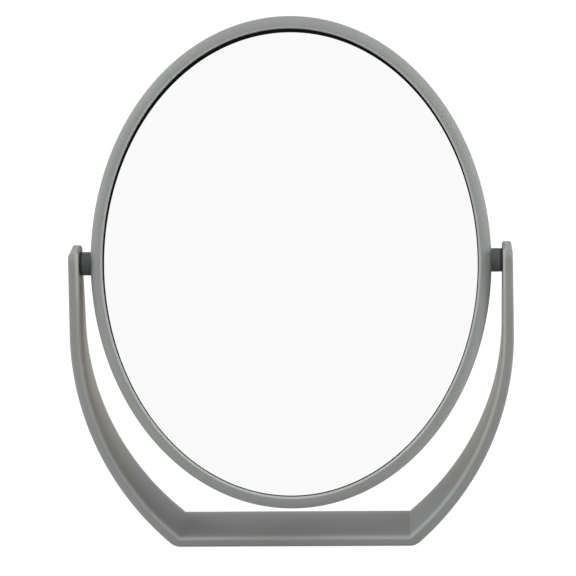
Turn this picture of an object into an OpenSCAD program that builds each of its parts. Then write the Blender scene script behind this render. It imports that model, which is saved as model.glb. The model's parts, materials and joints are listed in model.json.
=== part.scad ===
// Oval two-sided vanity mirror that swivels between the arms of a band stand.
// Millimetres. +Z is up, the mirror faces -Y, the origin is on the table under the centre.

/* [Glass] */
// Width of the plain oval glass
glass_w = 161; // [120:0.1:220]
// Height of the plain oval glass
glass_h = 199.4; // [140:0.1:280]
// Thickness of the plain glass
glass_t = 3; // [2:0.1:4]
// Gap between a glass and the sides of its pocket
glass_gap = 0.5; // [0.4:0.1:1.5]
// Gap between a centred glass and the top and bottom of its pocket
glass_end_gap = 1; // [0.4:0.1:1.5]
// Share of that end gap by which the glass has settled downwards
glass_settle = 0.65; // [0:0.05:0.85]
// Depth of the plain glass below the front of the rim
glass_recess = 0.8; // [0.3:0.1:2]
// Spherical radius of the magnifying glass
magnifier_r = 1000; // [800:10:2500]
// Thickness of the magnifying glass
magnifier_t = 2; // [1.5:0.1:2.5]
// Thickness of the foam pad behind the plain glass
foam_t = 0.8; // [0.5:0.1:1.2]
// Least thickness of the foam disc behind the magnifying glass
disc_t = 0.5; // [0.3:0.1:1]
// Diameter of the foam disc behind the magnifying glass
disc_d = 90; // [50:1:110]

/* [Head frame] */
// Width of the rim seen from the front
rim_w = 5.6; // [4.5:0.1:9]
// Thickness of the head from face to face
head_t = 16; // [15:0.1:24]
// Width of the bevelled lip at the inner edge of the rim
lip_w = 0.9; // [0.3:0.1:1.2]
// Depth of that bevel
lip_h = 0.7; // [0.2:0.1:1]
// Height of the straight outer side of each bezel at the parting line
side_flat = 2.4; // [1:0.1:4]
// Bevel that leaves a fine groove where the bezels meet
parting_bevel = 0.2; // [0.1:0.05:0.4]
// Wall left between a glass pocket and the trunnion collar
pocket_wall = 0.9; // [0.6:0.1:1.2]
// Width of the ledge that carries a glass, measured in from the pocket wall
ledge_w = 10; // [8:0.5:14]
// Width of the part of the ledge that holds the screws
screw_land = 5.6; // [5:0.1:6.5]
// Thickness of the edge flange of the core plate
plate_t = 2; // [1.2:0.1:2.4]
// Height of the stiffening ribs behind the core plate
rib_h = 0.9; // [0.4:0.1:1]
// Width of the stiffening ribs
rib_w = 1.6; // [1:0.1:3]
// Number of radial ribs
rib_count = 12; // [6:1:24]
// Distance between the rim of the ribbed field and its oval rib
rib_inset = 12; // [6:1:16]
// Angle that the head leans back at rest
head_tilt = 13.9; // [0:0.1:30]
// Height of the pivot axis over the middle of the oval
pivot_over = 0.4; // [0:0.05:1]

/* [Trunnions] */
// Diameter of the shoulder seen between head and arm
shoulder_d = 10.2; // [8:0.1:11]
// Diameter of the journal that turns in the bush
journal_d = 5; // [3.5:0.1:5.5]
// Length of the journal
journal_l = 2.6; // [1.8:0.1:3]
// Diameter of the collar held between the bezels
collar_d = 12.6; // [12:0.1:13]
// Thickness of the collar
collar_t = 1.6; // [1.2:0.1:2.2]
// Height of the flat tongue inside the collar
tongue_w = 6; // [4:0.1:8]
// Thickness of the tongue
tongue_t = 4; // [3:0.1:4.4]
// Length of the tongue
tongue_l = 4.5; // [3:0.1:5]
// Radial running clearance between journal and bush
run_gap = 0.05; // [0.02:0.01:0.1]
// Axial clearance between shoulder and bush flange
end_gap = 0.1; // [0.05:0.05:0.3]
// Clearance round a piece seated in its recess
seat_gap = 0.05; // [0.02:0.01:0.1]

/* [Friction bushes] */
// Thickness of the bush flange against the arm
flange_t = 0.9; // [0.8:0.1:2]
// Wall thickness of the bush sleeve
sleeve_wall = 1.1; // [0.8:0.1:1.4]
// Depth of the blind hole in each arm
socket_depth = 3; // [2.4:0.1:3.1]

/* [Stand] */
// Clear distance between the rim of the head and the inner face of an arm
side_gap = 4.8; // [4:0.1:12]
// Clear distance between the turning head and the top of the base
under_gap = 13.9; // [6:0.1:40]
// Thickness of the band at the base
band_t = 4.4; // [4.2:0.1:7]
// Thickness of the sides below the pivots
side_t = 4.6; // [4.2:0.1:7]
// How much thinner the arms are at their tops
tip_thin = 0.5; // [0:0.05:0.7]
// Extra thickness of the sides just above the heels
heel_swell = 0.3; // [0:0.05:0.6]
// Depth of the stand at the base, front to back
base_depth = 34.6; // [30:0.1:70]
// Depth of the arms at their tops, front to back
arm_top_depth = 20.4; // [18:0.1:30]
// Height of the arm tops above the pivot axis
arm_rise = 6.5; // [5.5:0.1:12]
// Length of straight arm below the pivot axis
arm_straight = 30.6; // [20:0.1:40]
// Extra radius of the side curve over its height above the table
side_bow = 30; // [15:0.5:45]
// Least inner radius of the corner between a side and the base
heel_inner_r = 1.7; // [1.2:0.1:8]
// Rounding of all long edges of the band
edge_r = 1.2; // [0.5:0.1:1.8]
// Radius of the arm top's corners seen from the side
top_corner_r = 3.4; // [2:0.1:8]

/* [Feet] */
// Diameter of each foot pad
foot_d = 9; // [6:0.5:11]
// Thickness of each foot pad
foot_t = 1.3; // [1:0.1:2]
// Height that each foot pad stands out of the base
foot_proud = 0.5; // [0.3:0.1:0.8]
// Distance of each foot's edge from the long edge of the base
foot_inset = 2.6; // [2:0.1:4]

/* [Screws] */
// Number of screws that hold the two bezels together
screw_count = 8; // [6:1:12]
// Diameter of a screw head
screw_head_d = 4; // [3:0.1:4.2]
// Height of a screw head
screw_head_t = 1.2; // [0.8:0.1:1.5]
// Diameter of a screw shank
screw_d = 2; // [1.5:0.1:2.4]
// Length of a screw shank
screw_l = 4; // [3:0.1:4.4]

/* [Hidden] */
$fn = 64;

// Colours
soft_grey = "#808581";
charcoal = "#3c4041";
black_rubber = "#202122";
silver = "#dfe4e6";
steel = "#a8abad";
grey_core = "#4a4c4d";

// Head sizes, all measured from the middle of the oval in the head's own frame
pocket_a = glass_w / 2 + glass_gap;
pocket_b = glass_h / 2 + glass_end_gap;
glass_drop = glass_settle * glass_end_gap;
head_a = pocket_a + rim_w;
head_b = pocket_b + rim_w;
face_y = head_t / 2;
glass_front_y = -face_y + glass_recess;
glass_back_y = glass_front_y + glass_t;
ledge_y = glass_back_y + foam_t;
magnifier_face_y = disc_t + magnifier_t;
magnifier_back_r = magnifier_r + magnifier_t;
rear_ledge_y = disc_t + bulge(pocket_a - ledge_w) - seat_gap;
screw_seat_y = rear_ledge_y - screw_head_t - seat_gap;
screw_tip_y = screw_seat_y - screw_l;
rib_margin = 2;

// Rise of the back of the magnifying glass at a distance from its middle
function bulge(r) = magnifier_back_r - sqrt(pow(magnifier_back_r, 2) - r * r);

// Stand sizes
arm_x = head_a + side_gap;
pivot_h = foot_proud + band_t + under_gap + head_b + pivot_over;
arm_top_h = pivot_h + arm_rise;
arc_h = pivot_h - arm_straight;
arc_r = arc_h + side_bow;
arc_x = arc_r - arm_x - side_t;
heel_t = side_t + heel_swell;
heel_r = heel_inner_r + max(band_t, heel_t);
heel_h = foot_proud + heel_r;
heel_x = arc_x - sqrt(pow(arc_r - heel_r, 2) - pow(arc_h - heel_h, 2));
heel_angle = atan2(heel_h - arc_h, heel_x - arc_x) + 360;
foot_x = -heel_x - foot_d / 2;
foot_y = base_depth / 2 - foot_inset - foot_d / 2;

// Bush and trunnion sizes
sleeve_inner_r = journal_d / 2 + run_gap;
sleeve_outer_r = sleeve_inner_r + sleeve_wall;
sleeve_l = socket_depth - seat_gap;
shoulder_end_x = arm_x - flange_t - end_gap;
collar_x = pocket_a + pocket_wall;

// Small sizes: least edge radius at an arm's tip, bevel of the rubber edges, overlap of joined bodies,
// and how far a cutting body reaches past the surface that it opens
tip_edge_r = 0.12;
rubber_bevel = 0.3;
overlap = 0.01;
past = 1;

// Steps along the curves
ring_steps = 120;
arc_steps = 22;
heel_steps = 7;
tip_steps = 7;
corner_steps = 4;
crown_steps = 7;
disc_steps = 6;
small_rod_steps = 24;
sphere_steps = 360;

// Joins a list of equal rings of points into one closed skin
module skin(rings, loop = false) {
    n = len(rings[0]);
    m = len(rings);
    last = loop ? m : m - 1;
    sides = [
        for (i = [0 : last - 1], j = [0 : n - 1])
            let (a = i * n + j, b = i * n + (j + 1) % n)
            let (c = ((i + 1) % m) * n + (j + 1) % n, d = ((i + 1) % m) * n + j)
            each [[a, b, c], [a, c, d]]
    ];
    caps = loop ? [] : [[for (j = [n - 1 : -1 : 0]) j], [for (j = [0 : n - 1]) (m - 1) * n + j]];
    polyhedron(points = [for (r = rings) each r], faces = concat(sides, caps), convexity = 10);
}

// Oval outline
function oval(a, b) = [
    for (k = [0 : ring_steps - 1])
        let (t = k * 360 / ring_steps)
        [a * cos(t), b * sin(t)]
];

// Outward unit normal of the pocket oval
function oval_normal(t) = let (v = [pocket_b * cos(t), pocket_a * sin(t)]) v / norm(v);

// Point at a distance u outside the pocket oval
function beside_oval(t, u) = [pocket_a * cos(t), pocket_b * sin(t)] + u * oval_normal(t);

// Oval plate parallel to the glass between two depths
module oval_plate(a, b, y0, y1) {
    translate([0, y1, 0]) rotate([90, 0, 0]) linear_extrude(y1 - y0) polygon(oval(a, b));
}

// Oval plate whose edge keeps one distance from the pocket wall
module inset_plate(u, y0, y1) {
    pts = [for (k = [0 : ring_steps - 1]) beside_oval(k * 360 / ring_steps, u)];
    translate([0, y1, 0]) rotate([90, 0, 0]) linear_extrude(y1 - y0) polygon(pts);
}

// Brings a piece drawn round the pivot axis to its height, leaning back
module on_pivot() {
    translate([0, 0, pivot_h]) rotate([-head_tilt, 0, 0]) children();
}

// Brings a piece drawn round the middle of the oval to its place in the leaning head
module in_head() {
    on_pivot() translate([0, 0, -pivot_over]) children();
}

// Cylinder along X from x0 to x1
module x_rod(r, x0, x1) {
    translate([x0, 0, 0]) rotate([0, 90, 0]) cylinder(r = r, h = x1 - x0);
}

// Places a piece at one side: side 1 is right, side -1 is left
module at_side(side) {
    if (side < 0) {
        mirror([1, 0, 0]) children();
    } else {
        children();
    }
}

// Half depth of the stand at a height
function half_depth(z) =
    let (share = (z - foot_proud) / (arm_top_h - foot_proud))
    (base_depth + (arm_top_depth - base_depth) * share) / 2;

// Loss of width at a distance d from the end of a rounding of radius r
function round_off(r, d) = d >= r ? 0 : r - sqrt(r * r - pow(r - d, 2));

// Thickness of the straight arm at a height
function arm_t(z) = side_t - tip_thin * (z - arc_h) / (arm_top_h - arc_h);

// Station on an arc round (x, z) at angle a, far from the arm's tip
function on_arc(x, z, r, a, t) = [x + r * cos(a), z + r * sin(a), cos(a), sin(a), top_corner_r, t];

// Stations along the outer face, down the left arm and round to the base:
// x, z, outward normal x and z, distance from the tip, thickness
left_stations = concat(
    [
        for (k = [0 : tip_steps])
            let (d = top_corner_r * (1 - cos(90 * k / tip_steps)))
            let (t = arm_t(arm_top_h - d))
            [-arm_x - t, arm_top_h - d, -1, 0, d, t]
    ],
    [
        for (k = [0 : arc_steps])
            let (share = k / arc_steps)
            on_arc(arc_x, arc_h, arc_r, 180 + (heel_angle - 180) * share, side_t + heel_swell * share)
    ],
    [
        for (k = [1 : heel_steps])
            let (share = k / heel_steps, a = heel_angle + (270 - heel_angle) * share)
            on_arc(heel_x, heel_h, heel_r, a, heel_t + (band_t - heel_t) * share)
    ]
);
right_stations = [
    for (k = [len(left_stations) - 1 : -1 : 0])
        let (s = left_stations[k])
        [-s[0], s[1], -s[2], s[3], s[4], s[5]]
];

// Rounded oblong section of the band at one station
function band_ring(s) =
    let (thin = round_off(edge_r, s[4]))
    let (hd = half_depth(s[1] - band_t / 2 * s[3]) - round_off(top_corner_r, s[4]))
    let (ht = s[5] / 2 - thin, r = max(edge_r - thin, tip_edge_r))
    [
        for (q = [0 : 3], k = [0 : corner_steps])
            let (a = 90 * q + 90 * k / corner_steps)
            let (u = (ht - r) * (q == 0 || q == 3 ? 1 : -1) + r * cos(a) - s[5] / 2)
            let (y = (hd - r) * (q < 2 ? 1 : -1) + r * sin(a))
            [s[0] + u * s[2], y, s[1] + u * s[3]]
    ];

// One-piece band stand with a socket in each arm and four shallow seats for the feet
module stand() {
    color(soft_grey)
    difference() {
        skin([for (s = concat(left_stations, right_stations)) band_ring(s)]);
        for (side = [-1, 1]) at_side(side)
            translate([0, 0, pivot_h]) x_rod(sleeve_outer_r + seat_gap, arm_x - past, arm_x + socket_depth);
        for (x = [-foot_x, foot_x], y = [-foot_y, foot_y])
            translate([x, y, -past]) cylinder(d = foot_d + 2 * seat_gap, h = foot_t + past);
    }
}

// Rubber foot pad with a softened lower edge
module foot(x, y) {
    color(black_rubber)
    translate([x, y, 0]) rotate_extrude() polygon([
        [0, 0], [foot_d / 2 - rubber_bevel, 0], [foot_d / 2, rubber_bevel], [foot_d / 2, foot_t], [0, foot_t]
    ]);
}

// Flanged bush that lines the socket of one arm and grips the journal
module friction_bush(side) {
    color(black_rubber)
    at_side(side) translate([arm_x, 0, pivot_h]) rotate([0, 90, 0])
        rotate_extrude() polygon([
            [sleeve_inner_r, -flange_t], [shoulder_d / 2 - rubber_bevel, -flange_t],
            [shoulder_d / 2, rubber_bevel - flange_t], [shoulder_d / 2, 0],
            [sleeve_outer_r, 0], [sleeve_outer_r, sleeve_l], [sleeve_inner_r, sleeve_l]
        ]);
}

// Trunnion: journal, shoulder, collar held between the bezels, and a flat tongue that keys it to the head
module trunnion(side) {
    color(charcoal)
    on_pivot() at_side(side) union() {
        x_rod(journal_d / 2, shoulder_end_x - overlap, arm_x - flange_t + journal_l);
        x_rod(shoulder_d / 2, collar_x, shoulder_end_x);
        x_rod(collar_d / 2, collar_x, collar_x + collar_t);
        translate([collar_x - tongue_l, -tongue_t / 2, -tongue_w / 2])
            cube([tongue_l + overlap, tongue_t, tongue_w]);
    }
}

// Room for the two trunnions in the bezels
module trunnion_seats() {
    translate([0, 0, pivot_over]) for (side = [-1, 1]) at_side(side) {
        x_rod(shoulder_d / 2 + seat_gap, collar_x, arm_x);
        x_rod(collar_d / 2 + seat_gap, collar_x - seat_gap, collar_x + collar_t + seat_gap);
        translate([collar_x - tongue_l - seat_gap, -tongue_t / 2 - seat_gap, -tongue_w / 2 - seat_gap])
            cube([tongue_l + 2 * seat_gap, tongue_t + 2 * seat_gap, tongue_w + 2 * seat_gap]);
    }
}

// Crown of the rim, outer side to inner lip: distance from the pocket wall, height over the parting line
crown = concat(
    [for (k = [0 : crown_steps]) let (a = 90 * k / crown_steps)
        [lip_w + (rim_w - lip_w) * cos(a), side_flat + (face_y - side_flat) * sin(a)]],
    [[0, face_y - lip_h]]
);

// Outer edge at the parting line
parting_edge = [[rim_w - parting_bevel, 0], [rim_w, parting_bevel]];

// Ring swept round the pocket oval from a section given as distance outwards and height, towards +Y or -Y
module oval_ring(section, way) {
    skin([
        for (k = [0 : ring_steps - 1])
            let (t = way * k * 360 / ring_steps)
            [for (p = section) let (q = beside_oval(t, p[0])) [q[0], way * p[1], q[1]]]
    ], loop = true);
}

// Centres of the screws on the screw land
module screw_places() {
    for (k = [0 : screw_count - 1]) {
        t = (k + 0.5) * 360 / screw_count;
        q = beside_oval(t, -screw_land / 2);
        translate([q[0], 0, q[1]]) children();
    }
}

// Rod along Y from y0 to y1
module y_rod(r, y0, y1) {
    translate([0, y1, 0]) rotate([90, 0, 0]) cylinder(r = r, h = y1 - y0, $fn = small_rod_steps);
}

// Front bezel: rim, pocket for the plain glass and a stepped ledge for the core plate
module front_bezel() {
    color(soft_grey)
    in_head() difference() {
        oval_ring(concat(parting_edge, crown, [[0, -ledge_y], [-ledge_w, -ledge_y], [-ledge_w, plate_t],
            [-screw_land, plate_t], [-screw_land, 0]]), -1);
        trunnion_seats();
        screw_places() y_rod(screw_d / 2 + seat_gap, screw_tip_y - seat_gap, past);
    }
}

// Rear bezel: rim, pocket for the magnifying glass and the ledge that clamps the core plate
module rear_bezel() {
    color(soft_grey)
    in_head() difference() {
        oval_ring(concat(parting_edge, crown, [
            [0, rear_ledge_y], [-ledge_w, rear_ledge_y], [-ledge_w, 0]
        ]), 1);
        trunnion_seats();
        screw_places() {
            y_rod(screw_d / 2 + seat_gap, -past, rear_ledge_y + past);
            y_rod(screw_head_d / 2 + seat_gap, screw_seat_y, rear_ledge_y + past);
        }
    }
}

// Core plate: flange clamped between the ledges, raised field level with the front ledge, ribs behind
module core_plate() {
    color(grey_core)
    in_head() union() {
        inset_plate(-screw_land - seat_gap, -plate_t, 0);
        inset_plate(-ledge_w - seat_gap, ledge_y, -plate_t + overlap);
        intersection() {
            difference() {
                inset_plate(-ledge_w - rib_margin, -overlap, rib_h);
                y_rod(disc_d / 2 + rib_margin, -past, rib_h + past);
            }
            union() {
                for (k = [0 : rib_count - 1]) rotate([0, k * 360 / rib_count, 0])
                    translate([0, -past, -rib_w / 2]) cube([pocket_b, rib_h + 2 * past, rib_w]);
                difference() {
                    inset_plate(-ledge_w - rib_margin - rib_inset, -past, rib_h + past);
                    inset_plate(-ledge_w - rib_margin - rib_inset - rib_w, -2 * past, rib_h + 2 * past);
                }
            }
        }
    }
}

// Flat oval mirror glass, silvered on its back
module plain_mirror() {
    color(silver)
    in_head() translate([0, 0, -glass_drop])
        oval_plate(glass_w / 2, glass_h / 2, glass_front_y, glass_back_y);
}

// Concave oval mirror glass cut from a spherical shell
module magnifying_mirror() {
    color(silver)
    in_head() translate([0, 0, -glass_drop]) intersection() {
        oval_plate(glass_w / 2, glass_h / 2, 0, face_y);
        translate([0, magnifier_face_y + magnifier_r, 0]) difference() {
            sphere(r = magnifier_back_r, $fn = sphere_steps);
            sphere(r = magnifier_r, $fn = sphere_steps);
        }
    }
}

// Black foam pad that bonds the plain glass to the core plate and the ledge
module front_foam_pad() {
    color(black_rubber)
    in_head() inset_plate(-seat_gap, glass_back_y, ledge_y);
}

// Foam disc that bonds the middle of the magnifying glass to the core plate
module rear_foam_disc() {
    color(black_rubber)
    in_head() translate([0, 0, -glass_drop]) rotate([-90, 0, 0]) rotate_extrude() polygon(concat(
        [[0, 0]],
        [[disc_d / 2, 0]],
        [for (k = [disc_steps : -1 : 0]) let (r = disc_d / 2 * k / disc_steps)
            [r, disc_t + bulge(r) - seat_gap]]
    ));
}

// Self-tapping screws hidden under the magnifying glass
module frame_screws() {
    color(steel)
    in_head() screw_places() union() {
        y_rod(screw_d / 2, screw_tip_y, screw_seat_y + overlap);
        y_rod(screw_head_d / 2, screw_seat_y, screw_seat_y + screw_head_t);
    }
}

stand();
foot(-foot_x, -foot_y);  // foot_front_left
foot(foot_x, -foot_y);  // foot_front_right
foot(-foot_x, foot_y);  // foot_rear_left
foot(foot_x, foot_y);  // foot_rear_right
friction_bush(-1);  // left_friction_bush
friction_bush(1);  // right_friction_bush
trunnion(-1);  // left_trunnion
trunnion(1);  // right_trunnion
front_bezel();
rear_bezel();
core_plate();
plain_mirror();
magnifying_mirror();
front_foam_pad();
rear_foam_disc();
frame_screws();
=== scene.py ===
"""Looks of the oval vanity mirror.

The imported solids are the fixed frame. This file lays finer shells over them, swept from the same sizes,
gives every piece its finish, and sets up a plain white studio with the photograph's viewing angle.
"""

import json
import math
from functools import cache
from types import SimpleNamespace

import bmesh
import bpy
import numpy as np
from bpy.props import FloatProperty, FloatVectorProperty, IntProperty, PointerProperty
from mathutils import Matrix, Vector


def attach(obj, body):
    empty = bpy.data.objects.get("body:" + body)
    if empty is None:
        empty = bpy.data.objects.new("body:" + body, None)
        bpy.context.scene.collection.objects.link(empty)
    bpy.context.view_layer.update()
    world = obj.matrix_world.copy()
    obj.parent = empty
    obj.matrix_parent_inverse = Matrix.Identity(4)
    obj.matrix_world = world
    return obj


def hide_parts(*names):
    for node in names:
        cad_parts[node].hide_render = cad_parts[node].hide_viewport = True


bl_info = {
    "name": "Oval vanity mirror",
    "version": (1, 0, 0),
    "blender": (4, 5, 0),
    "location": "3D View > Sidebar > Vanity",
    "description": "Shells, finishes and studio of an oval vanity mirror, round its packed solids",
    "category": "Object",
}

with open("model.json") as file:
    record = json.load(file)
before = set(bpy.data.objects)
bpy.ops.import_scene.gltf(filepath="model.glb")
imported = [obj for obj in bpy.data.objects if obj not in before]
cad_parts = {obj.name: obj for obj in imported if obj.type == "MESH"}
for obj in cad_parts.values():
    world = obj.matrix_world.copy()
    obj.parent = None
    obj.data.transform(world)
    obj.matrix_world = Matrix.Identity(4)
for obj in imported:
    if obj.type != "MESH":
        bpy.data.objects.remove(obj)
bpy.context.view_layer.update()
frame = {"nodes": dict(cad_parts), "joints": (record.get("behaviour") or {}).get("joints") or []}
solids = frame["nodes"]
PIVOT_HEIGHT = frame["joints"][0]["pos_m"][2]
MM = 0.001


def linear(code):
    """Opaque linear colour of an sRGB hex code, by the curve of the sRGB standard."""
    parts = [int(code[i : i + 2], 16) / 255 for i in (1, 3, 5)]
    return (*[c / 12.92 if c <= 0.04045 else ((c + 0.055) / 1.055) ** 2.4 for c in parts], 1.0)


def colour(name, description, code):
    """Colour property whose default is an sRGB hex code."""
    return FloatVectorProperty(
        name=name, description=description, default=linear(code), size=4, min=0, max=1, subtype="COLOR"
    )


def length(name, description, millimetres):
    """Length property whose default is given in millimetres."""
    return FloatProperty(
        name=name, description=description, default=millimetres * MM, min=0, unit="LENGTH"
    )


def angle(name, description, degrees, **limits):
    """Angle property whose default and limits are given in degrees."""
    limits = {end: math.radians(value) for end, value in limits.items()}
    return FloatProperty(
        name=name, description=description, default=math.radians(degrees), subtype="ANGLE", **limits
    )


class VANITY_PG_head(bpy.types.PropertyGroup):
    """Sizes of the oval head."""

    glass_width: length("Glass width", "Width of the plain oval glass", 161)
    glass_height: length("Glass height", "Height of the plain oval glass", 199.4)
    glass_thickness: length("Glass thickness", "Thickness of the plain glass", 3)
    glass_gap: length("Side gap of the glass", "Gap between a glass and the sides of its pocket", 0.5)
    glass_end_gap: length("End gap of the glass", "Gap between a centred glass and its pocket's ends", 1)
    glass_settle: FloatProperty(
        name="Glass settling", description="Share of the end gap by which a glass has settled downwards",
        default=0.65, min=0, max=0.85, subtype="FACTOR",
    )
    glass_recess: length("Glass recess", "Depth of the plain glass below the front of the rim", 0.8)
    glass_aside: length("Glass aside", "How far right of its pocket's middle the plain glass lies", 0.17)
    glass_turn: angle("Glass turn", "Clockwise turn of the plain glass in its pocket", 0.4, min=0, max=1)
    glass_arris: length("Glass arris", "Width of the ground bevel at the edge of a glass", 0.15)
    magnifier_radius: length("Magnifier radius", "Spherical radius of the magnifying glass", 1000)
    magnifier_thickness: length("Magnifier thickness", "Thickness of the magnifying glass", 2)
    foam_thickness: length("Foam thickness", "Thickness of the pad behind the plain glass", 0.8)
    disc_thickness: length(
        "Disc thickness", "Least thickness of the disc behind the magnifying glass", 0.5
    )
    rim_width: length("Rim width", "Width of the rim seen from the front", 5.6)
    thickness: length("Head thickness", "Thickness of the head from face to face", 16)
    lip_width: length("Lip width", "Width of the bevelled lip at the inner edge of the rim", 0.9)
    lip_height: length("Lip height", "Depth of that bevel", 0.7)
    side_flat: length("Side flat", "Height of the straight outer side of each bezel", 2.4)
    parting_bevel: length("Parting bevel", "Bevel that leaves a fine groove where the bezels meet", 0.2)
    ledge_width: length("Ledge width", "Width of the ledge that carries a glass", 10)
    screw_land: length("Screw land", "Width of the part of the ledge that holds the screws", 5.6)
    plate_thickness: length("Plate flange", "Thickness of the edge flange of the core plate", 2)
    tilt: angle("Head tilt", "Angle that the head leans back at rest", 13.9, min=0, max=30)
    pivot_over: length("Pivot over middle", "Height of the pivot axis over the middle of the oval", 0.4)
    steps: IntProperty(
        name="Oval steps", description="Steps round each oval", default=288, min=60, max=720
    )


class VANITY_PG_pivots(bpy.types.PropertyGroup):
    """Sizes of the trunnions and their bushes."""

    shoulder: length("Shoulder", "Diameter of the shoulder seen between head and arm", 10.2)
    journal: length("Journal", "Diameter of the journal that turns in the bush", 5)
    journal_length: length("Journal length", "Length of the journal", 2.6)
    collar: length("Collar", "Diameter of the collar held between the bezels", 12.6)
    collar_thickness: length("Collar thickness", "Thickness of that collar", 1.6)
    tongue_height: length("Tongue height", "Height of the flat tongue inside the collar", 6)
    tongue_thickness: length("Tongue thickness", "Thickness of the tongue", 4)
    tongue_length: length("Tongue length", "Length of the tongue", 4.5)
    pocket_wall: length("Pocket wall", "Wall between a glass pocket and the collar", 0.9)
    flange: length("Bush flange", "Thickness of the bush flange against the arm", 0.9)
    sleeve_wall: length("Sleeve wall", "Wall thickness of the bush sleeve", 1.1)
    socket_depth: length("Socket depth", "Depth of the blind hole in each arm", 3)
    running_gap: length("Running gap", "Radial clearance between journal and bush", 0.05)
    end_gap: length("End gap", "Clearance between shoulder and bush flange", 0.1)


class VANITY_PG_stand(bpy.types.PropertyGroup):
    """Sizes of the band stand and its foot pads."""

    side_gap: length("Side gap", "Clear distance between the rim and an arm", 4.8)
    band: length("Band thickness", "Thickness of the band at the base", 4.4)
    side: length("Side thickness", "Thickness of the sides below the pivots", 4.6)
    tip_thin: length("Tip thinning", "How much thinner the arms are at their tops", 0.5)
    heel_swell: length("Heel swelling", "Extra thickness of the sides just above the heels", 0.3)
    base_depth: length("Base depth", "Depth of the base, front to back", 34.6)
    top_depth: length("Arm top depth", "Depth of the arms at their tops", 20.4)
    arm_rise: length("Arm rise", "Height of the arm tops above the pivot axis", 6.5)
    straight: length("Straight arm", "Length of straight arm below the pivot axis", 30.6)
    bow: length("Side bow", "Extra radius of the side curve over its height", 30)
    heel: length("Heel radius", "Least inner radius of the corner between side and base", 1.7)
    edge: length("Edge radius", "Rounding of the long edges of the band", 1.2)
    top_corner: length("Top corner radius", "Radius of the arm top's corners seen from the side", 3.4)
    pad: length("Foot pad", "Diameter of each foot pad", 9)
    pad_thickness: length("Pad thickness", "Thickness of each foot pad", 1.3)
    pad_proud: length("Pad proud", "Height that each foot pad stands out of the base", 0.5)
    pad_inset: length("Pad inset", "Distance of a pad's edge from the long edge of the base", 2.6)


class VANITY_PG_finish(bpy.types.PropertyGroup):
    """Colours of the finishes."""

    shell: colour("Shell", "Soft-touch lacquer of the stand and the rims", "#838583")
    # Painted highlight: a lighter tone on the lip and the band's inner edges, standing in for the light
    # that they catch
    highlight_tone: colour("Thin lacquer", "The same lacquer where it lies thin on inner edges", "#a3a5a3")
    # Painted light: a warmer, lighter tone on the arms' inner faces, standing in for the light that falls
    # on them
    undercoat: colour("Undercoat", "Warmer coat that shows on the arms' inner faces", "#a0998f")
    trunnion: colour("Trunnion", "Moulded acetal of the trunnions", "#505353")
    bush: colour("Bush", "Rubber of the friction bushes", "#202122")
    pad: colour("Foot pad", "Rubber of the foot pads", "#202122")
    silver: colour("Silver", "Silver layer seen through clear glass", "#fafafa")
    glass_edge: colour("Glass edge", "Ground edge of the glass", "#56625b")
    foam: colour("Foam", "Closed-cell foam behind the glasses", "#141516")
    core: colour("Core plate", "Moulded plastic of the core plate", "#4a4c4d")
    screw: colour("Screws", "Zinc plating on the screws", "#a8abad")
    floor: colour("Floor", "Floor and backdrop", "#ffffff")


class VANITY_PG_studio(bpy.types.PropertyGroup):
    """Camera and light."""

    azimuth: angle("Azimuth", "Camera's turn to the right of the front", 2.733)
    elevation: angle("Elevation", "Camera's angle above the horizon", 15.415)
    roll: angle("Roll", "Turn of the camera about its own axis", -1.242)
    distance: FloatProperty(
        name="Distance", description="Distance of the camera from the pivot axis",
        default=1.1338, unit="LENGTH",
    )
    lens: FloatProperty(
        name="Lens", description="Focal length on a 36 mm sensor", default=163.8, unit="CAMERA"
    )
    offset: FloatVectorProperty(
        name="Offset", description="Place of the pivot's middle right of and above the picture's middle",
        default=(0.00114, 0.01133), size=2, unit="LENGTH",
    )
    ambient: FloatProperty(
        name="Ambient", description="Strength of the light from all round", default=0, min=0
    )


GROUPS = {
    "vanity_head": VANITY_PG_head,
    "vanity_pivots": VANITY_PG_pivots,
    "vanity_stand": VANITY_PG_stand,
    "vanity_finish": VANITY_PG_finish,
    "vanity_studio": VANITY_PG_studio,
}


SEAT_GAP = 0.05 * MM  # clearance of a piece in its seat, as in the solids


def plan():
    """Sizes that follow from the properties, worked out as they are for the solids."""
    scene = bpy.context.scene
    h, p, s = scene.vanity_head, scene.vanity_pivots, scene.vanity_stand
    pocket = (h.glass_width / 2 + h.glass_gap, h.glass_height / 2 + h.glass_end_gap)
    arm_x = pocket[0] + h.rim_width + s.side_gap
    tip_z = PIVOT_HEIGHT + s.arm_rise
    arc_z = PIVOT_HEIGHT - s.straight
    arc_r = arc_z + s.bow
    arc_x = arc_r - arm_x - s.side
    heel_r = s.heel + max(s.band, s.side + s.heel_swell)
    heel_z = s.pad_proud + heel_r
    heel_x = arc_x - math.sqrt((arc_r - heel_r) ** 2 - (arc_z - heel_z) ** 2)
    glass_back = -h.thickness / 2 + h.glass_recess + h.glass_thickness
    back_radius = h.magnifier_radius + h.magnifier_thickness
    ledge_x = pocket[0] - h.ledge_width
    bulge = back_radius - math.sqrt(back_radius**2 - ledge_x**2)
    return SimpleNamespace(
        head=h,
        pivots=p,
        stand=s,
        pocket=pocket,
        glass_drop=h.glass_settle * h.glass_end_gap,
        arm_x=arm_x,
        tip_z=tip_z,
        arc=(arc_x, arc_z, arc_r),
        heel=(heel_x, heel_z, heel_r),
        heel_angle=math.atan2(heel_z - arc_z, heel_x - arc_x) + 2 * math.pi,
        face=h.thickness / 2,
        glass_back=glass_back,
        front_ledge=glass_back + h.foam_thickness,
        rear_ledge=h.disc_thickness + bulge - SEAT_GAP,
        magnifier_face=h.disc_thickness + h.magnifier_thickness,
        shoulder_end=arm_x - p.flange - p.end_gap,
        collar_x=pocket[0] + p.pocket_wall,
        pads=(-heel_x - s.pad / 2, s.base_depth / 2 - s.pad_inset - s.pad / 2),
    )


# Shapes

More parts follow.
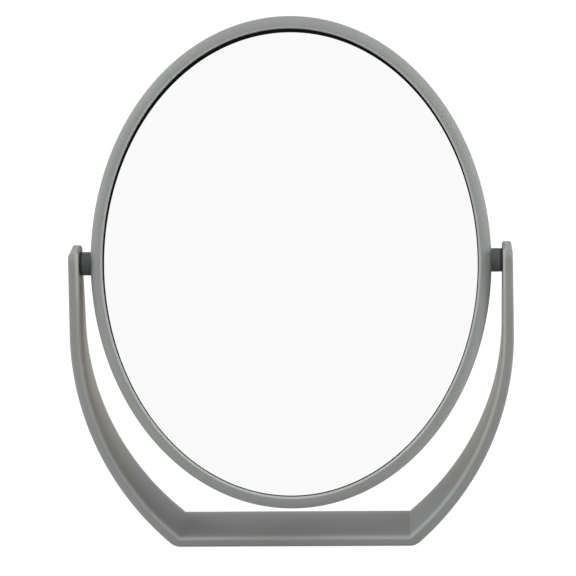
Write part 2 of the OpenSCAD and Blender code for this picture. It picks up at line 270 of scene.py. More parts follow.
CRISP_ANGLE = math.radians(35)  # faces that meet at more than this keep a crisp edge
SAME_POINT = 1e-7  # metres; points nearer to each other than this are one
LEAST_TURN = 0.3  # sine of the least turn that an easing rounds
SIDE_SHARE = 0.45  # most of a side's length that one easing takes
EDGE_STEPS = 8  # steps round each long edge of the band
LEAST_EDGE = 0.12 * MM  # least rounding of those edges, at the arm tops
LIP_EASING = 0.15 * MM  # rounding of the lip's two edges
PAD_EASING = 0.35 * MM  # and of the edges of pads, bushes and trunnions
BUSH_EASING = 0.25 * MM
TRUNNION_EASING = 0.22 * MM
TONGUE_OVERLAP = 0.01 * MM  # how far a tongue reaches into its collar
MAGNIFIER_RINGS = 40
FACE_COSINE = 0.95  # least cosine between a silvered face and the way that the glass looks

LIP_HIGHLIGHT = 0.8  # share of the painted highlight on the lip
BAND_HIGHLIGHT = ((0.4, 0.9), (1.2, 0.45), (3.0, 0.12), (6.0, 0.0))  # mm from the band's inner edge, share of the painted highlight there
WARM_LIGHT_END = 0.6  # slope of the band at which the painted warm light no longer shows


def solid(name, points, faces, materials, body, stands_for, painted_layers=None):
    """Piece with smooth faces and crisp edges, its finishes, its body and the nodes it stands for.

    The last argument maps the name of a painted highlight or painted light to its share at each point.
    """
    mesh = bpy.data.meshes.new(name)
    mesh.from_pydata([tuple(p) for p in points], [], [tuple(int(i) for i in f) for f in faces])
    for painted_layer, shares in (painted_layers or {}).items():
        mesh.attributes.new(painted_layer, "FLOAT", "POINT").data.foreach_set("value", np.asarray(shares, float))
    shape = bmesh.new()
    shape.from_mesh(mesh)
    bmesh.ops.remove_doubles(shape, verts=shape.verts, dist=SAME_POINT)
    bmesh.ops.recalc_face_normals(shape, faces=shape.faces)
    shape.to_mesh(mesh)
    shape.free()
    mesh.shade_smooth()
    mesh.set_sharp_from_angle(angle=CRISP_ANGLE)
    for each in materials:
        mesh.materials.append(each)
    piece = bpy.data.objects.new(name, mesh)
    bpy.context.scene.collection.objects.link(piece)
    weighted = piece.modifiers.new("Flat faces stay flat", "WEIGHTED_NORMAL")
    weighted.keep_sharp = True
    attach(piece, body)
    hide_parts(*stands_for)
    return piece


def skin(rings, loop=False):
    """Points and faces of the skin that joins equal rings; without a loop its ends are closed."""
    rings = np.asarray(rings, float)
    m, n = rings.shape[:2]
    at = np.arange(m * n).reshape(m, n)
    faces = []
    for i in range(m if loop else m - 1):
        low, high = at[i], at[(i + 1) % m]
        faces += [(low[j], low[(j + 1) % n], high[(j + 1) % n], high[j]) for j in range(n)]
    if not loop:
        faces += [tuple(at[0]), tuple(at[-1])]
    return rings.reshape(-1, 3), faces


def eased(points, radius, steps=4):
    """The same open outline with its inner corners rounded off, short sides by less."""
    points = [np.array(p, float) for p in points]
    out = [points[0]]
    for before, corner, after in zip(points, points[1:], points[2:]):
        a, b = before - corner, after - corner
        la, lb = np.linalg.norm(a), np.linalg.norm(b)
        turn = abs(a[0] * b[1] - a[1] * b[0]) / (la * lb)
        if turn < LEAST_TURN:
            out.append(corner)
            continue
        r = min(radius, SIDE_SHARE * la, SIDE_SHARE * lb)
        p, q = corner + a / la * r, corner + b / lb * r
        for k in range(steps + 1):
            t = k / steps
            out.append((1 - t) ** 2 * p + 2 * t * (1 - t) * corner + t * t * q)
    return out + [points[-1]]


def lathe(outline, place, steps=96):
    """Points and faces of an outline of (distance, radius) turned about an axis.

    place maps a distance along the axis and two distances from it to a point.
    """
    turns = [2 * math.pi * k / steps for k in range(steps)]
    rings = [[place(x, r * math.cos(t), r * math.sin(t)) for t in turns] for x, r in outline]
    return skin(rings)


def oval(d, steps, grow=0.0, glass=False):
    """Oval of a pocket, or of a glass, at a distance outside it: arrays of x and z."""
    a, b = (d.head.glass_width / 2, d.head.glass_height / 2) if glass else d.pocket
    t = np.arange(steps) * 2 * math.pi / steps
    n = np.stack([b * np.cos(t), a * np.sin(t)], 1)
    n /= np.linalg.norm(n, axis=1)[:, None]
    return np.stack([a * np.cos(t), b * np.sin(t)], 1) + grow * n


def lean(points, d, over=0.0):
    """Points of the upright head, its axis at a height over their zero, brought to the leaning head."""
    points = np.asarray(points, float)
    c, s = math.cos(d.head.tilt), math.sin(d.head.tilt)
    x, y, z = points[..., 0], points[..., 1], points[..., 2] - over
    return np.stack([x, y * c + z * s, -y * s + z * c + PIVOT_HEIGHT], -1)


def round_off(radius, distance):
    """Loss of width at a distance from the end of a rounding."""
    return 0.0 if distance >= radius else radius - math.sqrt(radius**2 - (radius - distance) ** 2)


def band_stations(d, tip=16, arc=72, heel=20):
    """Stations from the left arm's tip to the right one's.

    Each gives outer x and z, the outward normal's x and z, the drop from the tip and the thickness.
    """
    s = d.stand
    left = []
    for k in range(tip + 1):
        drop = s.top_corner * (1 - math.cos(math.pi / 2 * k / tip))
        thick = s.side - s.tip_thin * (d.tip_z - drop - d.arc[1]) / (d.tip_z - d.arc[1])
        left.append((-d.arm_x - thick, d.tip_z - drop, -1.0, 0.0, drop, thick))
    swollen = s.side + s.heel_swell
    for (x, z, r), a0, a1, t0, t1, first, count in (
        (d.arc, math.pi, d.heel_angle, s.side, swollen, 0, arc),
        (d.heel, d.heel_angle, 1.5 * math.pi, swollen, s.band, 1, heel),
    ):
        for k in range(first, count + 1):
            a, thick = a0 + (a1 - a0) * k / count, t0 + (t1 - t0) * k / count
            nx, nz = math.cos(a), math.sin(a)
            left.append((x + r * nx, z + r * nz, nx, nz, s.top_corner, thick))
    return left + [(-x, z, -nx, nz, drop, thick) for x, z, nx, nz, drop, thick in reversed(left)]


def band_ring(d, station):
    """Rounded oblong section of the band at one station, with extra points along its inner face."""
    s = d.stand
    x, z, nx, nz, drop, thick = station
    rise = (z - s.band / 2 * nz - s.pad_proud) / (d.tip_z - s.pad_proud)
    cut = round_off(s.edge, drop)
    half_t = thick / 2 - cut
    half_d = (s.base_depth + (s.top_depth - s.base_depth) * rise) / 2 - round_off(s.top_corner, drop)
    r = max(s.edge - cut, LEAST_EDGE)
    ring = []
    for q in range(4):
        for k in range(EDGE_STEPS + 1):
            a = math.pi / 2 * (q + k / EDGE_STEPS)
            u = (half_t - r) * (1 if q in (0, 3) else -1) + r * math.cos(a) - thick / 2
            y = (half_d - r) * (1 if q < 2 else -1) + r * math.sin(a)
            ring.append((x + u * nx, y, z + u * nz))
        if q == 1:
            inner = [half_d - r - off * MM * half_d * 2 / s.base_depth for off, _ in BAND_HIGHLIGHT]
            u = -half_t - thick / 2
            ring += [(x + u * nx, y, z + u * nz) for y in inner + [-y for y in reversed(inner)]]
    return ring


def band_painted_light(stations):
    """Shares at each point of the band of the painted highlight on its inner edges and of the painted
    warm light on the arms' inner faces.
    """
    outer = [0.0] * (EDGE_STEPS + 1)
    # Painted highlight round the band's inner edges, fading over a few millimetres of the inner face
    edge = [math.sqrt(math.sin(math.pi / 2 * k / EDGE_STEPS)) for k in range(EDGE_STEPS + 1)]
    fade = [share for _, share in BAND_HIGHLIGHT]
    highlight_tone = outer + edge + fade + fade[::-1] + edge[::-1] + outer
    inside = outer + edge + [1.0] * 2 * len(fade) + edge[::-1] + outer
    full = max(station[4] for station in stations)
    undercoat = []
    # Painted warm light on the arms' inner faces, fading out where the band turns into the base
    for _, _, _, nz, drop, _ in stations:
        upright = max(0.0, 1 - abs(nz) / WARM_LIGHT_END) * drop / full
        undercoat += [upright * share for share in inside]
    return {"thin_lacquer": highlight_tone * len(stations), "undercoat": undercoat}


def rim_outline(d, crown=20):
    """Outside of a bezel from the parting line over the crown to the lip: distance outwards, height."""
    h = d.head
    points = [(h.rim_width - h.parting_bevel, 0), (h.rim_width, h.parting_bevel)]
    for k in range(crown + 1):
        a = math.pi / 2 * k / crown
        across = h.lip_width + (h.rim_width - h.lip_width) * math.cos(a)
        points.append((across, h.side_flat + (d.face - h.side_flat) * math.sin(a)))
    # The lacquer rounds the bevel's two edges; the last point only shows which way the wall goes on
    corner, foot = np.array((h.lip_width, d.face)), np.array((0, d.face - h.lip_height))
    bevel = eased([points[-2], corner, foot, foot - (0, 3 * LIP_EASING)], LIP_EASING)
    return points[:-1] + [tuple(p) for p in bevel[1:-1]]


def rim(name, d, outline, way, node):
    """Bezel swept round the pocket, its crown towards -Y or +Y, with a painted highlight on the lip."""
    rings = []
    for across, height in outline:
        line = oval(d, d.head.steps, across)
        ring = np.stack([line[:, 0], np.full(len(line), way * height), line[:, 1]], 1)
        rings.append(lean(ring, d, d.head.pivot_over))
    points, faces = skin(np.swapaxes(np.array(rings), 0, 1), loop=True)
    # Painted highlight on the lip's bevel
    lip = [
        LIP_HIGHLIGHT if 0 < across < d.head.lip_width and height > d.head.side_flat else 0.0
        for across, height in outline
    ]
    solid(name, points, faces, [made_of("shell")], "head", [node],
          {"thin_lacquer": lip * d.head.steps})


def oval_stack(d, rows, aside=0.0, turn=0.0):
    """Points and faces of a closed oval disc.

    Its rows give the share of the way out, the inset, and the depth or a function of the distance out.
    """
    rings = []
    askew = np.array(((math.cos(turn), -math.sin(turn)), (math.sin(turn), math.cos(turn))))
    for share, inset, depth in rows:
        line = oval(d, d.head.steps, -inset, glass=True) * share @ askew
        y = depth(np.hypot(line[:, 0], line[:, 1])) if callable(depth) else np.full(len(line), depth)
        ring = np.stack([line[:, 0] + aside, y, line[:, 1] - d.glass_drop], 1)
        rings.append(lean(ring, d, d.head.pivot_over))
    return skin(rings)


# Finishes

PATTERN_SPAN = (0.3, 0.7)  # values between which a pattern mostly keeps
WAVE_SCALE = math.pi / 10  # scale at which a wave texture has one band to the metre
FACTOR, COLOUR_A, COLOUR_B, COLOUR_OUT = 0, 6, 7, 2  # sockets of a Mix node that mixes colours


def feed(tree, node, inputs):
    """Gives each of these inputs of a node its value, or links the output that feeds it."""
    for socket, value in inputs.items():
        if isinstance(value, bpy.types.NodeSocket):
            tree.links.new(value, node.inputs[socket])
        else:
            node.inputs[socket].default_value = value


def add(tree, kind, inputs=None, **settings):
    """Adds one node with its settings; inputs maps a socket to a value or to the output that feeds it."""
    node = tree.nodes.new(kind)
    for key, value in settings.items():
        setattr(node, key, value)
    feed(tree, node, inputs or {})
    return node


def finish(name):
    """New node material, its tree and shader, and its object coordinates: metres in the part's frame."""
    material = bpy.data.materials.new(name)
    material.use_nodes = True
    tree = material.node_tree
    shader = tree.nodes["Principled BSDF"]
    coordinates = add(tree, "ShaderNodeTexCoord").outputs["Object"]
    return material, tree, shader, coordinates


def cells(width):
    """Scale of a pattern whose cells are that many millimetres wide."""
    return 1 / (width * MM)


def shade(tree, base, factor, low, high):
    """Base colour made a little darker and lighter by a pattern between two brightnesses."""
    span = {"From Min": PATTERN_SPAN[0], "From Max": PATTERN_SPAN[1], "To Min": low, "To Max": high}
    value = add(tree, "ShaderNodeMapRange", {"Value": factor, **span}).outputs["Result"]
    base = base if isinstance(base, bpy.types.NodeSocket) else tuple(base)
    return add(tree, "ShaderNodeHueSaturation", {"Color": base, "Value": value}).outputs["Color"]


def soft_touch_abs(c):
    """ABS moulded and sprayed with soft-touch lacquer: a matt, velvety grey with no hard highlight."""
    material, tree, shader, at = finish("soft_touch_lacquer_on_moulded_abs")
    # Painted light: the arms' inner faces are painted warmer and lighter, standing in for the light that
    # falls on them.
    # A painted highlight lies lighter on the lip round a glass and on the inner edges of the band
    base = tuple(c.shell)
    for painted_layer, tone in (("undercoat", c.undercoat), ("thin_lacquer", c.highlight_tone)):
        share = add(tree, "ShaderNodeAttribute", attribute_name=painted_layer).outputs["Fac"]
        blend = {FACTOR: share, COLOUR_A: base, COLOUR_B: tuple(tone)}
        base = add(tree, "ShaderNodeMix", blend, data_type="RGBA").outputs[COLOUR_OUT]
    # Spray lays on in clouds some 30 mm wide, a few percent lighter and darker
    clouds = add(
        tree, "ShaderNodeTexNoise", {"Vector": at, "Scale": cells(29.4), "Detail": 2}
    ).outputs["Fac"]
    # The lacquer's grit is near 0.1 mm; it is drawn at 0.7 mm, the finest that shows at this distance
    grit = add(
        tree, "ShaderNodeTexNoise", {"Vector": at, "Scale": cells(0.7), "Detail": 3, "Roughness": 0.6}
    ).outputs["Fac"]
    rough = add(tree, "ShaderNodeMapRange", {"Value": grit, "To Min": 0.66, "To Max": 0.82})
    bump = add(tree, "ShaderNodeBump", {"Height": grit, "Strength": 0.12, "Distance": 0.05 * MM})
    feed(tree, shader, {
        "Base Color": shade(tree, base, clouds, 0.975, 1.025),
        "Roughness": rough.outputs["Result"],
        "Normal": bump.outputs["Normal"],
        "IOR": 1.5,
        "Sheen Weight": 0.06,
        "Sheen Roughness": 0.5,
    })
    return material


def moulded_acetal(c):
    """Acetal moulded in a turned cavity: dark satin with hair-fine rings round the axis."""
    material, tree, shader, at = finish("moulded_acetal")
    # Tool marks of the turned cavity are near 0.1 mm apart and are drawn at 1.1 mm, the finest that shows
    rings = add(
        tree, "ShaderNodeTexWave",
        {"Vector": at, "Scale": WAVE_SCALE * cells(1.1), "Distortion": 0.4, "Detail": 1},
        wave_type="BANDS", bands_direction="X",
    ).outputs["Fac"]
    # The melt leaves clouds near 5 mm wide
    flow = add(
        tree, "ShaderNodeTexNoise", {"Vector": at, "Scale": cells(4.55), "Detail": 2}
    ).outputs["Fac"]
    rough = add(tree, "ShaderNodeMapRange", {"Value": flow, "To Min": 0.5, "To Max": 0.62})
    bump = add(tree, "ShaderNodeBump", {"Height": rings, "Strength": 0.5, "Distance": 0.05 * MM})
    feed(tree, shader, {
        "Base Color": shade(tree, c.trunnion, flow, 0.93, 1.07),
        "Roughness": rough.outputs["Result"],
        "Normal": bump.outputs["Normal"],
        "IOR": 1.48,
        # The cavity was left unpolished, so the skin scatters more than it mirrors
        "Specular IOR Level": 0.12,
    })
    return material


def moulded_rubber(name, base, stipple_mm):
    """Rubber moulded in a spark-eroded cavity: near black, dry and stippled."""
    material, tree, shader, at = finish(name)
    # The cavity's pits are near 0.1 mm and are drawn at 0.5 mm and over, the finest that shows
    stipple = add(
        tree, "ShaderNodeTexVoronoi", {"Vector": at, "Scale": cells(stipple_mm)}
    ).outputs["Distance"]
    # Dust settles in patches some 3 mm wide
    dust = add(
        tree, "ShaderNodeTexNoise", {"Vector": at, "Scale": cells(3.33), "Detail": 3}
    ).outputs["Fac"]
    rough = add(tree, "ShaderNodeMapRange", {"Value": dust, "To Min": 0.74, "To Max": 0.9})
    bump = add(tree, "ShaderNodeBump", {"Height": stipple, "Strength": 0.25, "Distance": 0.05 * MM})
    feed(tree, shader, {
        "Base Color": shade(tree, base, dust, 0.85, 1.2),
        "Roughness": rough.outputs["Result"],
        "Normal": bump.outputs["Normal"],
        "IOR": 1.52,
    })
    return material


def silvered_glass(c):
    """Float glass silvered on its back: a clean mirror with the faintest wipe marks."""
    material, tree, shader, at = finish("silvered_float_glass")
    # Wipe marks left by a cloth are long arcs some 12 mm apart
    wipe = add(
        tree, "ShaderNodeTexNoise", {"Vector": at, "Scale": cells(11.8), "Detail": 2, "Distortion": 1.5}
    ).outputs["Fac"]
    rough = add(tree, "ShaderNodeMapRange", {"Value": wipe, "To Min": 0.0, "To Max": 0.012})
    feed(tree, shader, {
        "Base Color": shade(tree, c.silver, wipe, 0.994, 1.0),
        "Roughness": rough.outputs["Result"],
        "Metallic": 1.0,
    })
    return material


def ground_glass_edge(c):
    """Edge of float glass ground with a fine wheel: frosted, and dark grey-green, as it lets light in."""
    material, tree, shader, at = finish("ground_float_glass_edge")
    # Wheel marks are near 0.05 mm and are drawn at 0.5 mm, the finest that shows
    grind = add(
        tree, "ShaderNodeTexNoise", {"Vector": at, "Scale": cells(0.5), "Detail": 2}
    ).outputs["Fac"]
    rough = add(tree, "ShaderNodeMapRange", {"Value": grind, "To Min": 0.35, "To Max": 0.55})
    feed(tree, shader, {
        "Base Color": shade(tree, c.glass_edge, grind, 0.85, 1.1),
        "Roughness": rough.outputs["Result"],
        "IOR": 1.52,
    })
    return material


def closed_cell_foam(c):
    """Die-cut polyethylene foam: black, dull and full of small closed cells."""
    material, tree, shader, at = finish("die_cut_polyethylene_foam")
    # Cells of 0.3 mm are drawn at 0.6 mm and kept faint, since only a narrow band of the foam shows
    foam = add(tree, "ShaderNodeTexVoronoi", {"Vector": at, "Scale": cells(0.6)}).outputs["Distance"]
    bump = add(tree, "ShaderNodeBump", {"Height": foam, "Strength": 0.15, "Distance": 0.1 * MM})
    feed(tree, shader, {
        "Base Color": shade(tree, c.foam, foam, 0.9, 1.1),
        "Roughness": 0.95,
        "Normal": bump.outputs["Normal"],
        "IOR": 1.5,
    })
    return material


def moulded_core(c):
    """Filled polypropylene moulded for an inside part: dull grey with faint flow marks."""
    material, tree, shader, at = finish("moulded_polypropylene")
    # Flow marks run some 8 mm apart from the gate
    flow = add(
        tree, "ShaderNodeTexNoise", {"Vector": at, "Scale": cells(8), "Detail": 2, "Distortion": 2}
    ).outputs["Fac"]
    rough = add(tree, "ShaderNodeMapRange", {"Value": flow, "To Min": 0.5, "To Max": 0.65})
    feed(tree, shader, {
        "Base Color": shade(tree, c.core, flow, 0.9, 1.1),
        "Roughness": rough.outputs["Result"],
        "IOR": 1.49,
    })
    return material


def zinc_plated_steel(c):
    """Zinc-plated steel: bright cool grey, cloudy where the plating passivated."""
    material, tree, shader, at = finish("zinc_plated_steel")
    # Plating clouds are 1 to 2 mm wide on a screw head
    clouds = add(
        tree, "ShaderNodeTexNoise", {"Vector": at, "Scale": cells(1.43), "Detail": 2}
    ).outputs["Fac"]
    rough = add(tree, "ShaderNodeMapRange", {"Value": clouds, "To Min": 0.25, "To Max": 0.45})
    feed(tree, shader, {
        "Base Color": shade(tree, c.screw, clouds, 0.9, 1.1),
        "Roughness": rough.outputs["Result"],
        "Metallic": 1.0,
    })
    return material


def white_card(c):
    """Matt white card of the floor: keeps the object's shadow, and looks near to white all the same."""
    material, tree, shader, at = finish("matt_white_card")
    white = tuple(c.floor)
    # Card grain of 2 mm, a percent lighter and darker
    grain = add(tree, "ShaderNodeTexNoise", {"Vector": at, "Scale": cells(2), "Detail": 2}).outputs["Fac"]
    lighting = shade(tree, dimmed(white, CARD_LIT), grain, 0.99, 1.01)
    card = add(tree, "ShaderNodeBsdfDiffuse", {"Color": lighting}).outputs["BSDF"]
    shadowed = add(tree, "ShaderNodeBsdfDiffuse", {"Color": dimmed(white, CARD_SEEN)}).outputs["BSDF"]
    # Glows a little less round the object, where its shadow shows, and fully where the lamps' light fades
    away = add(tree, "ShaderNodeVectorMath", {0: at}, operation="LENGTH").outputs["Value"]
    (near, less), (far, full) = CARD_GLOW
    strength = add(
        tree, "ShaderNodeMapRange",
        {"Value": away, "From Min": near, "From Max": far, "To Min": less, "To Max": full},
    ).outputs["Result"]
    glow = add(tree, "ShaderNodeEmission", {"Color": white, "Strength": strength}).outputs["Emission"]
    seen = add(tree, "ShaderNodeAddShader", {0: shadowed, 1: glow}).outputs["Shader"]
    mix = add(tree, "ShaderNodeMixShader", {0: looked_at(tree), 1: card, 2: seen}).outputs["Shader"]
    feed(tree, tree.nodes["Material Output"], {"Surface": mix})
    tree.nodes.remove(shader)
    return material


def dimmed(tone, share):
    """Opaque colour that has that share of a colour's light."""
    return (*[share * c for c in tone[:3]], 1.0)


def looked_at(tree):
    """1 for camera, glossy and transmission rays, 0 for the rays that carry light to matt surfaces."""
    path = add(tree, "ShaderNodeLightPath").outputs
    looked = path["Is Camera Ray"]
    for kind in ("Is Glossy Ray", "Is Transmission Ray"):
        either = add(tree, "ShaderNodeMath", {0: looked, 1: path[kind]}, operation="MAXIMUM")
        looked = either.outputs["Value"]
    return looked


MAKERS = {
    "shell": soft_touch_abs,
    "acetal": moulded_acetal,
    "bush": lambda c: moulded_rubber("moulded_nitrile_rubber", c.bush, 0.5),
    "pad": lambda c: moulded_rubber("moulded_silicone_rubber", c.pad, 0.7),
    "silver": silvered_glass,
    "glass_edge": ground_glass_edge,
    "foam": closed_cell_foam,
    "core": moulded_core,
    "screw": zinc_plated_steel,
    "floor": white_card,
}


@cache
def made_of(key):
    """Finish of that key, made once."""
    return MAKERS[key](bpy.context.scene.vanity_finish)


def dress(names, key):
    """Gives CAD nodes that stay in view their finish."""
    for name in names:
        mesh = solids[name].data
        mesh.materials.clear()
        mesh.materials.append(made_of(key))


# Operators, one for each piece or group of like pieces


class VANITY_OT_stand(bpy.types.Operator):
    """Sweep the one-piece band stand with its curved sides, heels and base"""

    bl_idname = "vanity.stand"
    bl_label = "Band stand"

    def execute(self, context):
        d = plan()
        stations = band_stations(d)
        points, faces = skin([band_ring(d, station) for station in stations])
        solid("stand_band", points, faces, [made_of("shell")], "stand", ["stand"],
              band_painted_light(stations))
        return {"FINISHED"}


class VANITY_OT_pads(bpy.types.Operator):
    """Turn the four rubber foot pads with their softened lower edge"""

    bl_idname = "vanity.foot_pads"
    bl_label = "Foot pads"

    def execute(self, context):
        d = plan()
        s = d.stand
        r = s.pad / 2
        outline = eased([(0, 0), (0, r), (s.pad_thickness, r), (s.pad_thickness, 0)], PAD_EASING)
        for row, y in (("front", -d.pads[1]), ("rear", d.pads[1])):
            for side, x in (("left", -d.pads[0]), ("right", d.pads[0])):
                points, faces = lathe(outline, lambda z, u, v: (x + u, y + v, z), steps=64)
                solid(f"pad_{row}_{side}", points, faces, [made_of("pad")], "stand",
                      [f"foot_{row}_{side}"])
        return {"FINISHED"}


class VANITY_OT_bushes(bpy.types.Operator):
    """Turn the two flanged friction bushes that line the sockets in the arms"""

    bl_idname = "vanity.bushes"
    bl_label = "Friction bushes"

    def execute(self, context):
        d = plan()
        p = d.pivots
        bore = p.journal / 2 + p.running_gap
        sleeve = bore + p.sleeve_wall
        depth = p.socket_depth - SEAT_GAP
        flange = p.shoulder / 2
        corners = [(depth, bore), (-p.flange, bore), (-p.flange, flange), (0, flange), (0, sleeve),
                   (depth, sleeve), (depth, bore)]
        for side, way in (("left", -1), ("right", 1)):
            points, faces = lathe(
                eased(corners, BUSH_EASING), lambda x, u, v: (way * (d.arm_x + x), u, PIVOT_HEIGHT + v)
            )
            # A bush is open at both ends, so the two faces that close the skin are left out
            solid(f"bush_{side}", points, faces[:-2], [made_of("bush")], "stand",
                  [f"{side}_friction_bush"])
        return {"FINISHED"}


class VANITY_OT_trunnions(bpy.types.Operator):
    """Turn the two trunnions, each with a journal, a shoulder, a held collar and a flat tongue"""

    bl_idname = "vanity.trunnions"
    bl_label = "Trunnions"

    def execute(self, context):
        d = plan()
        p = d.pivots
        journal, shoulder, collar = p.journal / 2, p.shoulder / 2, p.collar / 2
        tip = d.arm_x - p.flange + p.journal_length
        collar_end = d.collar_x + p.collar_thickness
        corners = [(tip, 0), (tip, journal), (d.shoulder_end, journal), (d.shoulder_end, shoulder),
                   (collar_end, shoulder), (collar_end, collar), (d.collar_x, collar), (d.collar_x, 0)]
        outline = eased(corners, TRUNNION_EASING)
        ty, tz = p.tongue_thickness / 2, p.tongue_height / 2
        tongue = [[(x, y, z) for y, z in ((-ty, -tz), (ty, -tz), (ty, tz), (-ty, tz))]
                  for x in (d.collar_x - p.tongue_length, d.collar_x + TONGUE_OVERLAP)]
        for side, way in (("left", -1), ("right", 1)):
            points, faces = lathe(outline, lambda x, u, v: (x, u, v))
            more, sides = skin(tongue)
            points = np.vstack([points, more])
            faces = faces + [[i + len(points) - len(more) for i in f] for f in sides]
            points = lean(points * (way, 1, 1), d)
            solid(f"trunnion_{side}", points, faces, [made_of("acetal")], "head",
                  [f"{side}_trunnion"])
        return {"FINISHED"}


class VANITY_OT_front_rim(bpy.types.Operator):
    """Sweep the front bezel with its crowned rim, lip, glass pocket and stepped ledge"""

    bl_idname = "vanity.front_rim"
    bl_label = "Front rim"

    def execute(self, context):
        d = plan()
        h = d.head
        land, ledge = -h.screw_land, -h.ledge_width
        outline = rim_outline(d) + [(0, -d.front_ledge), (ledge, -d.front_ledge),
                                    (ledge, h.plate_thickness), (land, h.plate_thickness), (land, 0)]
        rim("front_rim", d, outline, -1, "front_bezel")
        return {"FINISHED"}


class VANITY_OT_rear_rim(bpy.types.Operator):
    """Sweep the rear bezel with its crowned rim, lip and the pocket of the magnifying glass"""

    bl_idname = "vanity.rear_rim"
    bl_label = "Rear rim"

    def execute(self, context):
        d = plan()
        ledge = -d.head.ledge_width
        outline = rim_outline(d) + [(0, d.rear_ledge), (ledge, d.rear_ledge), (ledge, 0)]
        rim("rear_rim", d, outline, 1, "rear_bezel")
        return {"FINISHED"}


def glass_piece(name, d, rows, node, *place):
    """Glass from stacked ovals: silver on its two faces, ground glass between them."""
    points, faces = oval_stack(d, rows, *place)
    finishes = [made_of("silver"), made_of("glass_edge")]
    piece = solid(name, points, faces, finishes, "head", [node])
    square_on = Vector((0, math.cos(d.head.tilt), -math.sin(d.head.tilt)))
    for face in piece.data.polygons:
        face.material_index = 0 if abs(face.normal.dot(square_on)) > FACE_COSINE else 1


class VANITY_OT_plain_glass(bpy.types.Operator):
    """Cut the flat oval glass with its ground edge"""

    bl_idname = "vanity.plain_glass"
    bl_label = "Plain glass"

    def execute(self, context):
        d = plan()
        h = d.head
        front, back, arris = d.glass_back - h.glass_thickness, d.glass_back, h.glass_arris
        rows = [(1, arris, front), (1, 0, front + arris), (1, 0, back - arris), (1, arris, back)]
        glass_piece("plain_glass", d, rows, "plain_mirror", h.glass_aside, h.glass_turn)
        return {"FINISHED"}


class VANITY_OT_magnifying_glass(bpy.types.Operator):
    """Bend the concave oval glass with its ground edge"""

    bl_idname = "vanity.magnifying_glass"
    bl_label = "Magnifying glass"

    def execute(self, context):
        d = plan()
        h = d.head
        arris = h.glass_arris
        centre = d.magnifier_face + h.magnifier_radius

        def face(r, radius=h.magnifier_radius):
            return centre - np.sqrt(radius**2 - r * r)

        def back(r):
            return face(r, h.magnifier_radius + h.magnifier_thickness)

        shares = [(k + 1) / MAGNIFIER_RINGS for k in range(MAGNIFIER_RINGS)]
        rows = [(share, arris, face) for share in shares]
        rows += [(1, 0, lambda r: face(r) - arris), (1, 0, lambda r: back(r) + arris)]
        rows += [(share, arris, back) for share in reversed(shares)]
        glass_piece("magnifying_glass", d, rows, "magnifying_mirror")
        return {"FINISHED"}


class VANITY_OT_inside(bpy.types.Operator):
    """Finish the pieces inside the head: core plate, foam and screws"""

    bl_idname = "vanity.inside"
    bl_label = "Inside of the head"

    def execute(self, context):
        dress(["front_foam_pad", "rear_foam_disc"], "foam")
        dress(["core_plate"], "core")
        dress(["frame_screws"], "screw")
        return {"FINISHED"}


# Studio

CARD_LIT = 0.6  # lightness of the floor for the light that it throws on the object
CARD_SEEN = 0.12  # lightness of the floor for the lamps' light and the shadow that are seen on it
CARD_GLOW = (0.3, 0.95), (1.0, 1.0)  # metres from the origin, strength of the floor's glow there
FLOOR_REACH = 6.0  # metres from the origin to each side
SENSOR_WIDTH = 36.0  # mm
CLIP_RANGE = (0.05, 30.0)  # metres

# Name, turn from the front and height in degrees, distance and size in metres, light on the pivot
LAMPS = [
    ("overhead_softbox", 180, 84, 1.4, 0.3, 0.51),
    ("high_front_softbox", 0, 55, 1.4, 0.5, 0.21),
    ("front_softbox", 0, 15, 1.6, 1.0, 0.21),
    ("left_softbox", -90, 8, 1.4, 0.6, 0.11),
    ("right_softbox", 90, 8, 1.4, 0.6, 0.77),
    ("front_left_softbox", -60, 8, 1.4, 0.6, 0.39),
    ("high_left_softbox", -60, 40, 1.4, 0.6, 0.12),
    ("high_right_softbox", 60, 40, 1.4, 0.6, 0.17),
    ("rear_left_softbox", -120, 20, 1.4, 0.6, 0.31),
]


def towards(turn, height):
    """Direction at a turn from the front to the right and an angle above the horizon."""
    flat = math.cos(height)
    return Vector((math.sin(turn) * flat, -math.cos(turn) * flat, math.sin(height)))


def lay_floor(scene):
    """White floor under the object."""
    mesh = bpy.data.meshes.new("studio_floor")
    r = FLOOR_REACH
    mesh.from_pydata([(-r, -r, 0), (r, -r, 0), (r, r, 0), (-r, r, 0)], [], [(0, 1, 2, 3)])
    mesh.materials.append(made_of("floor"))
    floor = bpy.data.objects.new("studio_floor", mesh)
    scene.collection.objects.link(floor)


def open_sky(scene):
    """White all round for rays that look at it; the object gets the ambient light, by default none."""
    world = bpy.data.worlds.new("white_studio")
    world.use_nodes = True
    scene.world = world
    tree = world.node_tree
    white = tuple(scene.vanity_finish.floor)
    light = tree.nodes["Background"]
    feed(tree, light, {"Color": white, "Strength": scene.vanity_studio.ambient})
    backdrop = add(tree, "ShaderNodeBackground", {"Color": white, "Strength": 1.0})
    rays = {0: looked_at(tree), 1: light.outputs["Background"], 2: backdrop.outputs["Background"]}
    mix = add(tree, "ShaderNodeMixShader", rays).outputs["Shader"]
    feed(tree, tree.nodes["World Output"], {"Surface": mix})


def hang_lamps(scene, target):
    """Soft lamps aimed at a target."""
    for name, turn, height, distance, size, level in LAMPS:
        data = bpy.data.lights.new(name, "AREA")
        data.shape = "DISK"
        data.size = size
        # A lamp this far off that lights a facing surface to this level
        data.energy = level * (math.pi * distance) ** 2
        lamp = bpy.data.objects.new(name, data)
        away = towards(math.radians(turn), math.radians(height))
        lamp.location = target + away * distance
        lamp.rotation_mode = "QUATERNION"
        lamp.rotation_quaternion = away.to_track_quat("Z", "Y")
        # The glass mirrors the white room and not the lamps, which would show in it and speckle the lip
        lamp.visible_glossy = False
        scene.collection.objects.link(lamp)


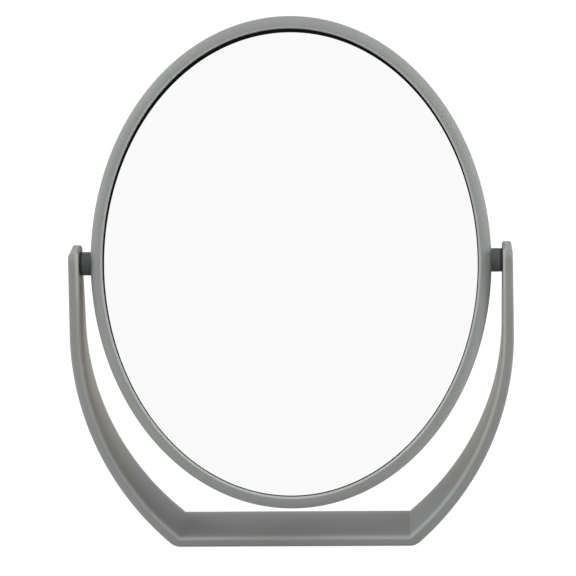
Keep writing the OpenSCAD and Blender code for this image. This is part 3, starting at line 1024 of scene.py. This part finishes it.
def aim_camera(scene, target):
    """Camera at the photograph's angle, placed so that the target lies where it does in the picture."""
    studio = scene.vanity_studio
    back = towards(studio.azimuth, studio.elevation)
    level = Vector((math.cos(studio.azimuth), math.sin(studio.azimuth), 0))
    upright = back.cross(level)
    right = math.cos(studio.roll) * level + math.sin(studio.roll) * upright
    up = math.cos(studio.roll) * upright - math.sin(studio.roll) * level
    data = bpy.data.cameras.new("photograph_camera")
    data.sensor_width = SENSOR_WIDTH
    data.lens = studio.lens
    data.clip_start, data.clip_end = CLIP_RANGE
    place = target + back * studio.distance - right * studio.offset[0] - up * studio.offset[1]
    camera = bpy.data.objects.new("photograph_camera", data)
    camera.matrix_world = Matrix.Translation(place) @ Matrix((right, up, back)).transposed().to_4x4()
    scene.collection.objects.link(camera)
    scene.camera = camera


class VANITY_OT_studio(bpy.types.Operator):
    """Lay the white floor, hang the lamps and aim the camera as in the photograph"""

    bl_idname = "vanity.studio"
    bl_label = "Studio"

    def execute(self, context):
        scene = context.scene
        pivot = Vector((0, 0, PIVOT_HEIGHT))
        lay_floor(scene)
        open_sky(scene)
        hang_lamps(scene, pivot)
        aim_camera(scene, pivot)
        scene.view_settings.view_transform = "Standard"
        return {"FINISHED"}


OPERATORS = [
    VANITY_OT_stand,
    VANITY_OT_pads,
    VANITY_OT_bushes,
    VANITY_OT_trunnions,
    VANITY_OT_front_rim,
    VANITY_OT_rear_rim,
    VANITY_OT_plain_glass,
    VANITY_OT_magnifying_glass,
    VANITY_OT_inside,
    VANITY_OT_studio,
]


class VANITY_PT_panel(bpy.types.Panel):
    """Panel that lists the pieces and the sizes"""

    bl_idname = "VANITY_PT_panel"
    bl_label = "Oval vanity mirror"
    bl_space_type = "VIEW_3D"
    bl_region_type = "UI"
    bl_category = "Vanity"

    def draw(self, context):
        for operator in OPERATORS:
            self.layout.operator(operator.bl_idname)
        for name in GROUPS:
            box = self.layout.box()
            box.label(text=name.split("_")[1].capitalize())
            group = getattr(context.scene, name)
            for key in GROUPS[name].__annotations__:
                box.prop(group, key)


CLASSES = [*GROUPS.values(), *OPERATORS, VANITY_PT_panel]


def register():
    for each in CLASSES:
        bpy.utils.register_class(each)
    for name, group in GROUPS.items():
        setattr(bpy.types.Scene, name, PointerProperty(type=group))


def unregister():
    for name in GROUPS:
        delattr(bpy.types.Scene, name)
    for each in reversed(CLASSES):
        bpy.utils.unregister_class(each)


def main():
    register()
    for operator in OPERATORS:
        group, name = operator.bl_idname.split(".")
        getattr(getattr(bpy.ops, group), name)()
    bpy.context.view_layer.update()


if __name__ == "__main__":
    main()
